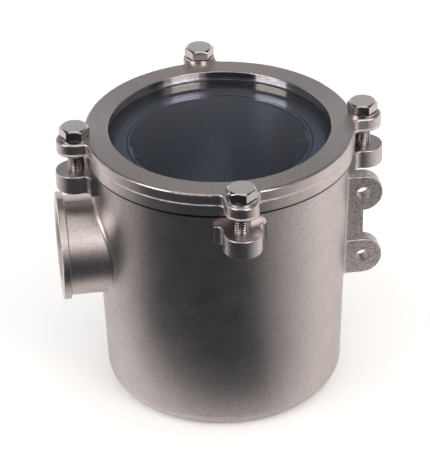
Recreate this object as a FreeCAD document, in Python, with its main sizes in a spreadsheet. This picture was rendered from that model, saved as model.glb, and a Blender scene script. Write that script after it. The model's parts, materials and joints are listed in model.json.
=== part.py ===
import FreeCAD, Part
import Sketcher
import math
import os

# Sea water strainer for 1 1/2 inch pipe: a cast body with two threaded ports, a bolted cover
# ring with a round window, and a perforated basket that hangs in the mouth of the body.
# Frame: millimetres, +Z up, origin at the middle of the flat base. The inlet points to -X,
# the outlet to +Y and the mounting flange to +X. The sizes are in the sheet below.

# Sizes in millimetres. The sheet below says what each one is.
# Body casting
BASE_RADIUS = 74.0
CAST_HEIGHT = 156.8
BASE_ROUND = 9.0
WALL_THICK = 5.0
FLOOR_THICK = 7.0
FLOOR_ROUND = 8.0
LAND_DEPTH = 11.0
LAND_SLOPE = 9.0
# Seal groove in the top face
MOUTH_BEYOND = 9.3
SEAL_WIRE = 4.2
GROOVE_EXTRA = 1.0
SEAL_CLEAR = 0.2
# Ports
PORT_HEIGHT = 97.4
PORT_REACH = 101.4
PORT_RADIUS = 31.0
COLLAR_RADIUS = 33.4
COLLAR_WIDTH = 4.8
THREAD_RADIUS = 22.42
THREAD_DEPTH = 24.0
WATERWAY_RADIUS = 20.0
THREAD_LEAD_IN = 1.5
PORT_BLEND = 3.0
SPIGOT_CLEAR = 0.8
# Lugs for the cover bolts
BOLT_BEYOND = 9.1
LUG_DROP = 5.3
LUG_THICK = 12.0
LUG_NOSE = 11.5
LUG_LEAD = 1.2
PAD_HALF = 15.3
PAD_PROUD = 2.1
LUG_BLEND = 4.0
TAP_FIT = 0.08
EDGE_ROUND = 0.8
# Mounting flange
FLANGE_HOLE_AT = 88.6
FLANGE_PITCH = 45.8
FLANGE_HEIGHT = 94.6
FLANGE_THICK = 9.8
WEB_INSET = 0.6
LOBE_RADIUS = 12.2
FLANGE_HOLE = 4.5
FLANGE_BLEND = 2.5
# Cover ring
RING_GAP = 0.6
RING_BEYOND = 3.3
RING_THICK = 15.6
SIGHT_LIP = 5.4
LIP_THICK = 5.2
RING_ROUND = 1.4
RIM_STEP = 0.35
RIM_STEP_DOWN = 7.2
SIGHT_ROUND = 0.5
EAR_THICK = 8.4
EAR_NOSE = 10.0
EAR_LEAD = 1.4
EAR_BLEND = 3.0
BOLT_CLEAR = 0.5
# Window and its upper gasket
WINDOW_INSET = 9.1
WINDOW_THICK = 9.0
WINDOW_BEVEL = 0.8
WINDOW_CLEAR = 0.4
GASKET_THICK = 0.8
GASKET_INSET = 0.3
# Cover bolts and washers
BOLT_RADIUS = 5.0
BOLT_LENGTH = 35.0
BOLT_FLATS = 16.0
HEAD_HEIGHT = 6.4
HEAD_SHOULDER = 0.7
BOLT_TIP = 1.0
WASHER_RADIUS = 9.0
WASHER_THICK = 1.6
WASHER_CLEAR = 0.25
# Basket
BASKET_RADIUS = 57.0
RIM_OVERHANG = 6.8
SHEET_THICK = 1.4
SEAL_OUTSIDE_RIM = 5.6
RIM_THICK = 2.4
RIM_OVERLAP = 0.8
RIM_SUNK = 0.2
RIM_CLEAR = 0.4
MOUTH_CLEAR = 4.2
BASKET_GAP = 2.5
PAN_HEIGHT = 8.0
HOOP_THICK = 1.2
HOOP_HEIGHT = 8.0
WELD_GAP = 0.1
FEED_CLEAR = 2.0
PERF_RADIUS = 3.0
PERF_COLUMN_COUNT = 10
PERF_ROW_COUNT = 6
PERF_SWEEP_DEGREES = 270.0
HEX_CORNER_DEGREES = 30.0
PERF_MARGIN = 20.0
PERF_PITCH = 23.0
PAN_RING_ONE = 19.0
PAN_RING_TWO = 38.0
PAN_HOLE = 4.0
# Bail of the basket and its ears
BAIL_WIRE = 1.75
BAIL_DROP = 6.6
BAIL_INSET = 10.0
BAIL_BEND = 3.5
BAIL_OFFSET = 5.0
TAB_THICK = 2.0
TAB_HALF = 6.0
TAB_BELOW = 6.0
PIVOT_FIT = 0.08
PIVOT_END = 0.4

doc = FreeCAD.newDocument("sea_water_strainer")
sheet = doc.addObject("Spreadsheet::Sheet", "Sizes")
row = [0]


def size(name, value, note):
    row[0] += 1
    sheet.set("A%d" % row[0], note)
    sheet.set("B%d" % row[0], str(value))
    sheet.setAlias("B%d" % row[0], name)


size("base_radius", BASE_RADIUS, "outer radius of the wall, carried down to the base")
size("cast_height", CAST_HEIGHT, "height of the top face of the casting")
size("base_round", BASE_ROUND, "round between wall and base")
size("wall_thick", WALL_THICK, "side wall")
size("floor_thick", FLOOR_THICK, "floor")
size("floor_round", FLOOR_ROUND, "round between floor and wall, inside")
size("land_depth", LAND_DEPTH, "depth of the inward land at the mouth")
size("land_slope", LAND_SLOPE, "height of the slope under the land")
size("mouth_beyond", MOUTH_BEYOND, "outside of the wall at the mouth beyond the seal ring's middle")
size("seal_wire", SEAL_WIRE, "section of the seal ring")
size("groove_extra", GROOVE_EXTRA, "groove width beyond the seal section")
size("seal_clear", SEAL_CLEAR, "seal ring to window, drawn free")
size("port_height", PORT_HEIGHT, "height of the port axes")
size("port_reach", PORT_REACH, "port face from the body axis")
size("port_radius", PORT_RADIUS, "outer radius of the port tube")
size("collar_radius", COLLAR_RADIUS, "radius of the collar at the port face")
size("collar_width", COLLAR_WIDTH, "width of the collar")
size("thread_radius", THREAD_RADIUS, "radius of the port bore inside the pipe thread")
size("thread_depth", THREAD_DEPTH, "depth of the threaded bore")
size("waterway_radius", WATERWAY_RADIUS, "radius of the passage behind the thread")
size("thread_lead_in", THREAD_LEAD_IN, "chamfer at the mouth of the thread")
size("port_blend", PORT_BLEND, "cast round where the port meets the wall")
size("spigot_clear", SPIGOT_CLEAR, "inner spigot to the widest ring of the basket")
size("bolt_beyond", BOLT_BEYOND, "bolt circle beyond the mouth radius")
size("lug_drop", LUG_DROP, "top face of the casting to the top of a lug")
size("lug_thick", LUG_THICK, "height of a lug")
size("lug_nose", LUG_NOSE, "radius of the lug nose")
size("lug_lead", LUG_LEAD, "nose centre beyond the bolt circle")
size("pad_half", PAD_HALF, "half width of the lug root pad")
size("pad_proud", PAD_PROUD, "root pad beyond the mouth radius")
size("lug_blend", LUG_BLEND, "hollow round from pad to nose")
size("tap_fit", TAP_FIT, "bolt to lug bore, radial")
size("edge_round", EDGE_ROUND, "round of the cast outer edges")
size("flange_hole_at", FLANGE_HOLE_AT, "flange holes from the body axis")
size("flange_pitch", FLANGE_PITCH, "distance between the flange holes")
size("flange_height", FLANGE_HEIGHT, "height of the middle of the flange")
size("flange_thick", FLANGE_THICK, "thickness of the flange at its lobes")
size("web_inset", WEB_INSET, "web set back from each lobe face")
size("lobe_radius", LOBE_RADIUS, "radius of a flange lobe")
size("flange_hole", FLANGE_HOLE, "radius of a flange hole")
size("flange_blend", FLANGE_BLEND, "cast round where the flange meets the wall")
size("ring_gap", RING_GAP, "casting to cover ring")
size("ring_beyond", RING_BEYOND, "cover ring beyond the mouth radius")
size("ring_thick", RING_THICK, "height of the cover ring")
size("sight_lip", SIGHT_LIP, "overlap of the ring's lip on the window")
size("lip_thick", LIP_THICK, "lip over the window")
size("ring_round", RING_ROUND, "round of the top outer edge of ring and ears")
size("rim_step", RIM_STEP, "set-back of the lower rim")
size("rim_step_down", RIM_STEP_DOWN, "top of the ring to the rim step")
size("sight_round", SIGHT_ROUND, "round of the sight opening's top edge")
size("ear_thick", EAR_THICK, "height of an ear")
size("ear_nose", EAR_NOSE, "radius of the ear nose")
size("ear_lead", EAR_LEAD, "nose centre beyond the bolt circle")
size("ear_blend", EAR_BLEND, "hollow round from ear to rim")
size("bolt_clear", BOLT_CLEAR, "bolt to ear bore, radial")
size("window_inset", WINDOW_INSET, "edge of the window inside the cover ring")
size("window_thick", WINDOW_THICK, "thickness of the window")
size("window_bevel", WINDOW_BEVEL, "bevel of the window edges")
size("window_clear", WINDOW_CLEAR, "window to ring recess, radial")
size("gasket_thick", GASKET_THICK, "gasket between lip and window")
size("gasket_inset", GASKET_INSET, "gasket set back from the sight opening")
size("bolt_radius", BOLT_RADIUS, "radius of the bolt shank")
size("bolt_length", BOLT_LENGTH, "length under the head")
size("bolt_flats", BOLT_FLATS, "width across the flats")
size("head_height", HEAD_HEIGHT, "height of the bolt head")
size("head_shoulder", HEAD_SHOULDER, "bevel on top of the head, at the middle of a flat")
size("bolt_tip", BOLT_TIP, "chamfer at the bolt end")
size("washer_radius", WASHER_RADIUS, "outer radius of a washer")
size("washer_thick", WASHER_THICK, "thickness of a washer")
size("washer_clear", WASHER_CLEAR, "bolt to washer bore, radial")
size("basket_radius", BASKET_RADIUS, "outer radius of the perforated shell")
size("rim_overhang", RIM_OVERHANG, "basket rim beyond the perforated shell")
size("sheet_thick", SHEET_THICK, "thickness of the basket sheet")
size("seal_outside_rim", SEAL_OUTSIDE_RIM, "middle of the seal ring beyond the basket rim")
size("rim_thick", RIM_THICK, "thickness of the basket rim")
size("rim_overlap", RIM_OVERLAP, "rim inside the shell's inner wall")
size("rim_sunk", RIM_SUNK, "basket rim below the top face")
size("rim_clear", RIM_CLEAR, "basket rim to its seat, radial")
size("mouth_clear", MOUTH_CLEAR, "shell to mouth bore, radial")
size("basket_gap", BASKET_GAP, "basket to floor")
size("pan_height", PAN_HEIGHT, "height of the upturned edge of the basket base")
size("hoop_thick", HOOP_THICK, "thickness of the bottom hoop")
size("hoop_height", HOOP_HEIGHT, "height of the bottom hoop")
size("weld_gap", WELD_GAP, "gap between the basket's welded rings")
size("feed_clear", FEED_CLEAR, "feed opening of the shell beyond the waterway")
size("perf_radius", PERF_RADIUS, "radius of a perforation")
size("perf_columns", PERF_COLUMN_COUNT, "columns of perforations in one set")
size("perf_rows", PERF_ROW_COUNT, "rows of perforations in the first set")
size("perf_sweep", PERF_SWEEP_DEGREES, "angle covered by the perforations")
size("perf_margin", PERF_MARGIN, "first row above the shell's lower edge")
size("perf_pitch", PERF_PITCH, "distance between the rows of one set")
size("pan_ring_one", PAN_RING_ONE, "inner circle of holes in the basket base")
size("pan_ring_two", PAN_RING_TWO, "outer circle of holes in the basket base")
size("pan_hole", PAN_HOLE, "radius of a hole in the basket base")
size("bail_wire", BAIL_WIRE, "radius of the bail wire")
size("bail_drop", BAIL_DROP, "top face of the casting to the bail pivots")
size("bail_inset", BAIL_INSET, "arms of the bail inside the perforated shell")
size("bail_bend", BAIL_BEND, "bend from pivot to bow")
size("bail_offset", BAIL_OFFSET, "centre of the bow from the pivot line")
size("tab_thick", TAB_THICK, "thickness of an ear")
size("tab_half", TAB_HALF, "half width of an ear")
size("tab_below", TAB_BELOW, "ear below the pivots")
size("pivot_fit", PIVOT_FIT, "bail to ear hole, radial")
size("pivot_end", PIVOT_END, "bail end to the shell's inner wall")


def derived(name, formula, note):
    size(name, "=" + formula, note)


def row_name(row_set, k):
    return "%s_%s" % (row_set, "abcdefghijklmnop"[k])


def sheet_value(name):
    sheet.recompute()
    return float(sheet.get(name))


derived("rim_radius", "basket_radius + rim_overhang", "outer radius of the basket rim")
derived("seal_radius", "rim_radius + seal_outside_rim", "middle radius of the seal ring")
derived("mouth_radius", "seal_radius + mouth_beyond", "outer radius of the wall at the top face")
derived("bolt_circle", "mouth_radius + bolt_beyond", "radius of the bolt circle")
derived("ring_radius", "mouth_radius + ring_beyond", "outer radius of the cover ring")
derived("window_radius", "ring_radius - window_inset", "radius of the window")
derived("sight_radius", "window_radius - sight_lip", "radius of the sight opening")
derived("bail_half", "basket_radius - bail_inset", "half of the bail's width")
derived("groove_half", "(seal_wire + groove_extra) / 2", "half width of the seal groove")
derived("window_under", "cast_height + ring_gap + ring_thick - lip_thick - gasket_thick - window_thick",
        "underside of the window")
derived("groove_floor", "window_under - seal_clear - seal_wire", "floor of the seal groove")
derived("groove_in", "seal_radius - groove_half", "inner radius of the groove")
derived("groove_out", "seal_radius + groove_half", "outer radius of the groove")
derived("seat_radius", "rim_radius + rim_clear", "radius of the basket seat")
derived("seat_height", "cast_height - rim_sunk - rim_thick", "height of the basket seat")
derived("bore_radius", "basket_radius + hoop_thick + mouth_clear", "radius of the mouth bore")
derived("land_under", "cast_height - land_depth", "underside of the inward land")
derived("slope_foot", "land_under - land_slope", "foot of the slope")
derived("taper", "(mouth_radius - base_radius) / cast_height", "outward lean of the wall")
derived("wall_in_top", "base_radius + taper * slope_foot - wall_thick", "inner wall below the slope")
derived("wall_in_low", "base_radius + taper * floor_thick - wall_thick", "inner wall at the floor")
derived("ring_under", "cast_height + ring_gap", "underside of the cover ring")
derived("ring_top", "ring_under + ring_thick", "top of the cover ring")
derived("window_top", "window_under + window_thick", "top of the window")
derived("lip_under", "ring_top - lip_thick", "underside of the lip")
derived("recess_radius", "window_radius + window_clear", "radius of the window recess")
derived("lower_rim", "ring_radius - rim_step", "radius of the lower rim")
derived("rim_step_at", "ring_top - rim_step_down", "height of the rim step")
derived("lug_top", "cast_height - lug_drop", "top of a lug")
derived("lug_under", "lug_top - lug_thick", "underside of a lug")
derived("lug_centre", "bolt_circle + lug_lead", "centre of the lug nose")
derived("lug_tip", "lug_centre + lug_nose", "outermost point of a lug")
derived("pad_face", "mouth_radius + pad_proud", "face of the root pad")
derived("lug_root", "mouth_radius - wall_thick / 2 - 4", "hidden inner end of a lug")
derived("blend_x", "pad_face + lug_blend", "centre of the hollow round")
derived("blend_y", "sqrt((lug_nose + lug_blend) ^ 2 - (lug_centre - blend_x) ^ 2)", "centre of the hollow round")
derived("meet_x", "blend_x + (lug_centre - blend_x) * lug_blend / (lug_nose + lug_blend)", "round meets nose")
derived("meet_y", "blend_y * lug_nose / (lug_nose + lug_blend)", "round meets nose")
derived("pad_half_used", "max(pad_half; blend_y + 0.2)", "half width of the pad as drawn")
derived("tap_radius", "bolt_radius + tap_fit", "radius of the lug bore")
derived("ear_centre", "bolt_circle + ear_lead", "centre of the ear nose")
derived("ear_tip", "ear_centre + ear_nose", "outermost point of an ear")
derived("ear_root", "(recess_radius + ring_radius) / 2", "hidden inner end of an ear")
derived("ear_turn", "sqrt((ring_radius + ear_blend) ^ 2 - (ear_nose + ear_blend) ^ 2)", "centre of the hollow round")
derived("ear_foot_x", "ear_turn * ring_radius / (ring_radius + ear_blend)", "hollow round meets the rim")
derived("ear_foot_y", "(ear_nose + ear_blend) * ring_radius / (ring_radius + ear_blend)", "hollow round meets the rim")
derived("ear_under", "ring_top - ear_thick", "underside of an ear")
derived("ear_bore", "bolt_radius + bolt_clear", "radius of the ear bore")
derived("port_collar_in", "port_reach - collar_width", "inner side of the collar")
derived("thread_end", "port_reach - thread_depth", "end of the threaded bore")
derived("thread_mouth", "thread_radius + thread_lead_in", "radius of the thread lead-in")
derived("thread_lead_at", "port_reach - thread_lead_in", "foot of the thread lead-in")
derived("port_root", "basket_radius / 2", "hidden inner end of a port before it is cut")
derived("spigot_radius", "basket_radius + hoop_thick + spigot_clear", "where the inlet spigot ends")
derived("spigot_top", "port_height + waterway_radius + wall_thick", "top of the inlet spigot inside the wall")
derived("wall_at_port", "base_radius + taper * port_height", "outer wall at the height of the ports")
derived("tube_root", "sqrt(wall_at_port ^ 2 - port_radius ^ 2) - wall_thick / 2", "hidden inner end of the tube")
derived("collar_top", "port_height + collar_radius", "top of the collar")
derived("tube_top", "port_height + port_radius", "top of the port tube")
derived("thread_top", "port_height + thread_radius", "top of the threaded bore")
derived("lead_top", "port_height + thread_mouth", "top of the thread lead-in")
derived("waterway_top", "port_height + waterway_radius", "top of the passage")
derived("lobe_high", "flange_height + flange_pitch / 2", "height of the upper flange hole")
derived("lobe_low", "flange_height - flange_pitch / 2", "height of the lower flange hole")
derived("lobe_high_top", "lobe_high + lobe_radius", "top of the upper lobe")
derived("lobe_high_under", "lobe_high - lobe_radius", "underside of the upper lobe")
derived("lobe_low_top", "lobe_low + lobe_radius", "top of the lower lobe")
derived("lobe_low_under", "lobe_low - lobe_radius", "underside of the lower lobe")
derived("lobe_tip", "flange_hole_at + lobe_radius", "outermost point of the flange")
derived("flange_root", "base_radius - wall_thick / 2 - 2", "hidden inner end of the flange")
derived("flange_half", "flange_thick / 2", "half thickness of the flange")
derived("web_half", "flange_half - web_inset", "half thickness of the web")
derived("shell_in", "basket_radius - sheet_thick", "inner radius of the shell")
derived("rim_in", "shell_in - rim_overlap", "inner radius of the basket rim")
derived("shell_foot", "floor_thick + basket_gap", "lower edge of the shell")
derived("shell_height", "seat_height - shell_foot", "height of the shell")
derived("pan_radius", "shell_in - weld_gap", "outer radius of the basket base")
derived("pan_in", "pan_radius - sheet_thick", "inner radius of the upturned edge")
derived("pan_floor", "shell_foot + sheet_thick", "top of the basket base")
derived("pan_edge", "shell_foot + pan_height", "top of the upturned edge")
derived("hoop_in", "basket_radius + weld_gap", "inner radius of the hoop")
derived("hoop_out", "hoop_in + hoop_thick - weld_gap", "outer radius of the hoop")
derived("hoop_edge", "shell_foot + hoop_height", "top of the hoop")
derived("feed_radius", "waterway_radius + feed_clear", "radius of the feed opening")
derived("row_one", "shell_foot + perf_margin", "height of the first row")
derived("row_two", "row_one + perf_pitch / 2", "height of the first row of the second set")
for row_set in ("row_one", "row_two"):
    for k in range(int(sheet_value("perf_rows"))):
        derived(row_name(row_set, k), "%s + %d * perf_pitch" % (row_set, k), "height of a row")
derived("perf_start", "-perf_sweep / 2", "angle of the first column")
derived("perf_step", "perf_sweep / (perf_columns - 1)", "angle between columns")
derived("perf_start_two", "perf_start + perf_step / 2", "angle of the second set's first column")
derived("perf_sweep_two", "perf_sweep - perf_step", "angle covered by the second set")
derived("bail_height", "cast_height - bail_drop", "height of the bail pivots")
derived("bail_far", "shell_in - pivot_end", "end of the bail from the axis")
derived("bail_turn", "bail_half + bail_bend", "start of the bend")
derived("bail_depth", "bail_offset + bail_half", "outermost point of the bow")
derived("tab_out", "sqrt((shell_in - weld_gap) ^ 2 - tab_half ^ 2)", "outer face of an ear")
derived("tab_in", "tab_out - tab_thick", "inner face of an ear")
derived("tab_top", "seat_height", "top of an ear, under the rim")
derived("tab_foot", "bail_height - tab_below", "foot of an ear")
derived("tab_straight", "tab_foot + tab_half", "start of the ear's round foot")
derived("tab_hole", "bail_wire + pivot_fit", "radius of the ear hole")
derived("gasket_in", "sight_radius + gasket_inset", "inner radius of the gasket")
derived("gasket_out", "window_radius - gasket_inset", "outer radius of the gasket")
derived("seal_middle", "groove_floor + seal_wire / 2", "height of the seal's middle line")
derived("seal_half", "seal_wire / 2", "section radius of the seal")
derived("washer_bore", "bolt_radius + washer_clear", "radius of the washer bore")
derived("head_under", "ring_top + washer_thick", "underside of a bolt head")
derived("head_corner", "bolt_flats / 2 / cos(30)", "corner radius of a bolt head")
derived("head_face", "bolt_flats / 2 - head_shoulder", "radius of the flat on top of a head")
derived("head_out", "head_corner + 1", "outer end of the cut that bevels the head")
derived("head_slope", "head_height - (head_out - head_face) * tan(30)", "foot of that cut")
derived("head_half", "head_corner / 2", "half the length of a side of the head")
derived("flat_half", "bolt_flats / 2", "axis to a flat")
doc.recompute()


def val(name):
    if name == 0:
        return 0.0
    if name[0] == "-":
        return -float(sheet.get(name[1:]))
    return float(sheet.get(name))


def bind(obj, prop, name):
    if name[0] == "-":
        obj.setExpression(prop, "-Sizes." + name[1:])
    else:
        obj.setExpression(prop, "Sizes." + name)


def new_body(name):
    body = doc.addObject("PartDesign::Body", name)
    body.Label = name
    return body


def origin_part(body, role):
    for item in body.Origin.OriginFeatures:
        if item.Role == role:
            return item
    raise RuntimeError("no origin feature " + role)


def new_sketch(body, name, plane, offset=None, turn=None):
    sketch = body.newObject("Sketcher::SketchObject", name)
    sketch.AttachmentSupport = [(origin_part(body, plane), "")]
    sketch.MapMode = "FlatFace"
    rotation = FreeCAD.Rotation()
    if turn is not None:
        rotation = FreeCAD.Rotation(FreeCAD.Vector(0, 1, 0), turn)
    shift = 0.0
    if offset is not None:
        shift = val(offset)
    sketch.AttachmentOffset = FreeCAD.Placement(FreeCAD.Vector(0, 0, shift), rotation)
    if offset is not None:
        bind(sketch, ".AttachmentOffset.Base.z", offset)
    return sketch


def fix_point(sketch, geo, end, point):
    for kind, name in (("DistanceX", point[0]), ("DistanceY", point[1])):
        index = sketch.addConstraint(Sketcher.Constraint(kind, -1, 1, geo, end, val(name)))
        if name != 0:
            label = "%s_%d" % (kind, index)
            sketch.renameConstraint(index, label)
            bind(sketch, "Constraints." + label, name)


def begins(entry):
    # The sketcher's number for the end at which an entry's edge starts: an arc that turns right is drawn from
    # its far end.
    return 2 if len(entry) > 2 and entry[3] < 0 else 1


def outline(sketch, points, closed=True):
    # Outline, closed unless told otherwise. Each entry is (x, y) or (x, y, radius, side): the edge that leaves the
    # point is then an arc of that radius, turning left (1) or right (-1).
    count = len(points)
    spans = count if closed else count - 1
    first = sketch.GeometryCount
    for i in range(spans):
        a = points[i]
        b = points[(i + 1) % count]
        start = FreeCAD.Vector(val(a[0]), val(a[1]), 0)
        end = FreeCAD.Vector(val(b[0]), val(b[1]), 0)
        if len(a) == 2:
            sketch.addGeometry(Part.LineSegment(start, end), False)
            continue
        radius = val(a[2])
        chord = end.sub(start)
        half = chord.Length / 2
        rise = math.sqrt(max(radius * radius - half * half, 0.0))
        normal = FreeCAD.Vector(-chord.y, chord.x, 0).multiply(1 / chord.Length)
        centre = start.add(chord.multiply(0.5)).add(normal.multiply(rise * a[3]))
        one = math.atan2(start.y - centre.y, start.x - centre.x)
        two = math.atan2(end.y - centre.y, end.x - centre.x)
        if a[3] < 0:
            one, two = two, one
        circle = Part.Circle(centre, FreeCAD.Vector(0, 0, 1), radius)
        sketch.addGeometry(Part.ArcOfCircle(circle, one, two), False)
    for i in range(count if closed else spans - 1):
        geo = first + i
        after = first + (i + 1) % count
        leaves = 3 - begins(points[i])
        arrives = begins(points[(i + 1) % count])
        sketch.addConstraint(Sketcher.Constraint("Coincident", geo, leaves, after, arrives))
    if not closed:
        fix_point(sketch, first + spans - 1, 2, points[-1])
    for i in range(spans):
        geo = first + i
        fix_point(sketch, geo, begins(points[i]), points[i])
        if len(points[i]) > 2:
            index = sketch.addConstraint(Sketcher.Constraint("Radius", geo, val(points[i][2])))
            label = "Radius_%d" % index
            sketch.renameConstraint(index, label)
            bind(sketch, "Constraints." + label, points[i][2])


def disc(sketch, x, y, radius):
    circle = Part.Circle(FreeCAD.Vector(val(x), val(y), 0), FreeCAD.Vector(0, 0, 1), val(radius))
    geo = sketch.addGeometry(circle, False)
    fix_point(sketch, geo, 3, (x, y))
    index = sketch.addConstraint(Sketcher.Constraint("Radius", geo, val(radius)))
    label = "Radius_%d" % index
    sketch.renameConstraint(index, label)
    bind(sketch, "Constraints." + label, radius)


def finish_step(body, feature, grows):
    # A pad adds volume and a cut removes it, otherwise it points the wrong way.
    before = 0.0
    base = feature.BaseFeature
    if base is None and feature.isDerivedFrom("PartDesign::Transformed"):
        base = feature.Originals[0]
    if base is not None:
        before = base.Shape.Volume
    body.Tip = feature
    doc.recompute()
    after = feature.Shape.Volume
    if grows and after <= before:
        raise RuntimeError(feature.Name + " adds nothing")
    if not grows and after >= before:
        raise RuntimeError(feature.Name + " cuts nothing")
    return feature


def pad(body, name, sketch, length, back=False):
    feature = body.newObject("PartDesign::Pad", name)
    feature.Profile = sketch
    feature.Length = val(length)
    bind(feature, "Length", length)
    feature.Reversed = back
    sketch.Visibility = False
    return finish_step(body, feature, True)


def pocket(body, name, sketch, length, back=False):
    feature = body.newObject("PartDesign::Pocket", name)
    feature.Profile = sketch
    feature.Length = val(length)
    bind(feature, "Length", length)
    feature.Reversed = back
    sketch.Visibility = False
    return finish_step(body, feature, False)


def turned(body, name, sketch, axis=None):
    feature = body.newObject("PartDesign::Revolution", name)
    feature.Profile = sketch
    feature.ReferenceAxis = axis or (sketch, ["V_Axis"])
    feature.Angle = 360.0
    return finish_step(body, feature, True)


def grooved(body, name, sketch, axis=None):
    feature = body.newObject("PartDesign::Groove", name)
    feature.Profile = sketch
    feature.ReferenceAxis = axis or (sketch, ["V_Axis"])
    feature.Angle = 360.0
    return finish_step(body, feature, False)


def around(body, name, original, count, grows):
    pattern = body.newObject("PartDesign::PolarPattern", name)
    pattern.Originals = [original]
    pattern.Axis = (origin_part(body, "Z_Axis"), [""])
    pattern.Angle = 360.0
    pattern.Occurrences = count
    return finish_step(body, pattern, grows)


def rounded(body, name, feature, picks, radius, kind="PartDesign::Fillet"):
    names = []
    for index, edge in enumerate(feature.Shape.Edges):
        if picks(edge, feature.Shape.ancestorsOfType(edge, Part.Face)):
            names.append("Edge%d" % (index + 1))
    if not names:
        raise RuntimeError(name + " finds no edge")
    item = body.newObject(kind, name)
    item.Base = (feature, names)
    prop = "Radius"
    if kind == "PartDesign::Chamfer":
        prop = "Size"
    setattr(item, prop, val(radius))
    bind(item, prop, radius)
    body.Tip = item
    doc.recompute()
    if "Invalid" in item.State or not item.Shape.isValid():
        raise RuntimeError(name + " fails")
    return item


def middle(edge):
    return edge.valueAt((edge.FirstParameter + edge.LastParameter) / 2)


def near(a, b, tol=0.02):
    return abs(a - b) < tol


def flat_circle(edge, radius, height):
    # A full or part circle about a vertical axis, of this radius, at this height.
    curve = edge.Curve
    if not isinstance(curve, Part.Circle):
        return False
    return near(curve.Radius, radius) and near(curve.Center.z, height) and abs(curve.Axis.z) > 0.99


# ---------------------------------------------------------------- body casting
def wall_radius(height):
    return val("base_radius") + val("taper") * height


def on_wall(edge):
    point = middle(edge)
    return near(math.hypot(point.x, point.y), wall_radius(point.z), 0.05)


def is_port_foot(edge, faces):
    kinds = [type(face.Surface).__name__ for face in faces]
    if "Cylinder" not in kinds or "Cone" not in kinds or not on_wall(edge):
        return False
    tube = faces[kinds.index("Cylinder")].Surface
    return abs(tube.Axis.z) < 0.01 and near(tube.Radius, val("port_radius"))


def is_flange_foot(edge, faces):
    kinds = [type(face.Surface).__name__ for face in faces]
    if "Plane" not in kinds or "Cone" not in kinds or not on_wall(edge):
        return False
    point = middle(edge)
    if point.x < 0 or abs(point.y) > val("flange_half") + 0.1:
        return False
    return val("lobe_low_under") - 0.1 < point.z < val("lobe_high_top") + 0.1


def is_collar_edge(edge, faces):
    curve = edge.Curve
    if not isinstance(curve, Part.Circle):
        return False
    return near(curve.Radius, val("collar_radius")) and abs(curve.Axis.z) < 0.01


def is_lug_edge(edge, faces):
    return flat_circle(edge, val("lug_nose"), val("lug_top")) or flat_circle(edge, val("lug_nose"), val("lug_under"))


def is_lobe_edge(edge, faces):
    curve = edge.Curve
    if not isinstance(curve, Part.Circle) or not near(curve.Radius, val("lobe_radius")):
        return False
    return near(abs(curve.Center.y), val("flange_half"))


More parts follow.
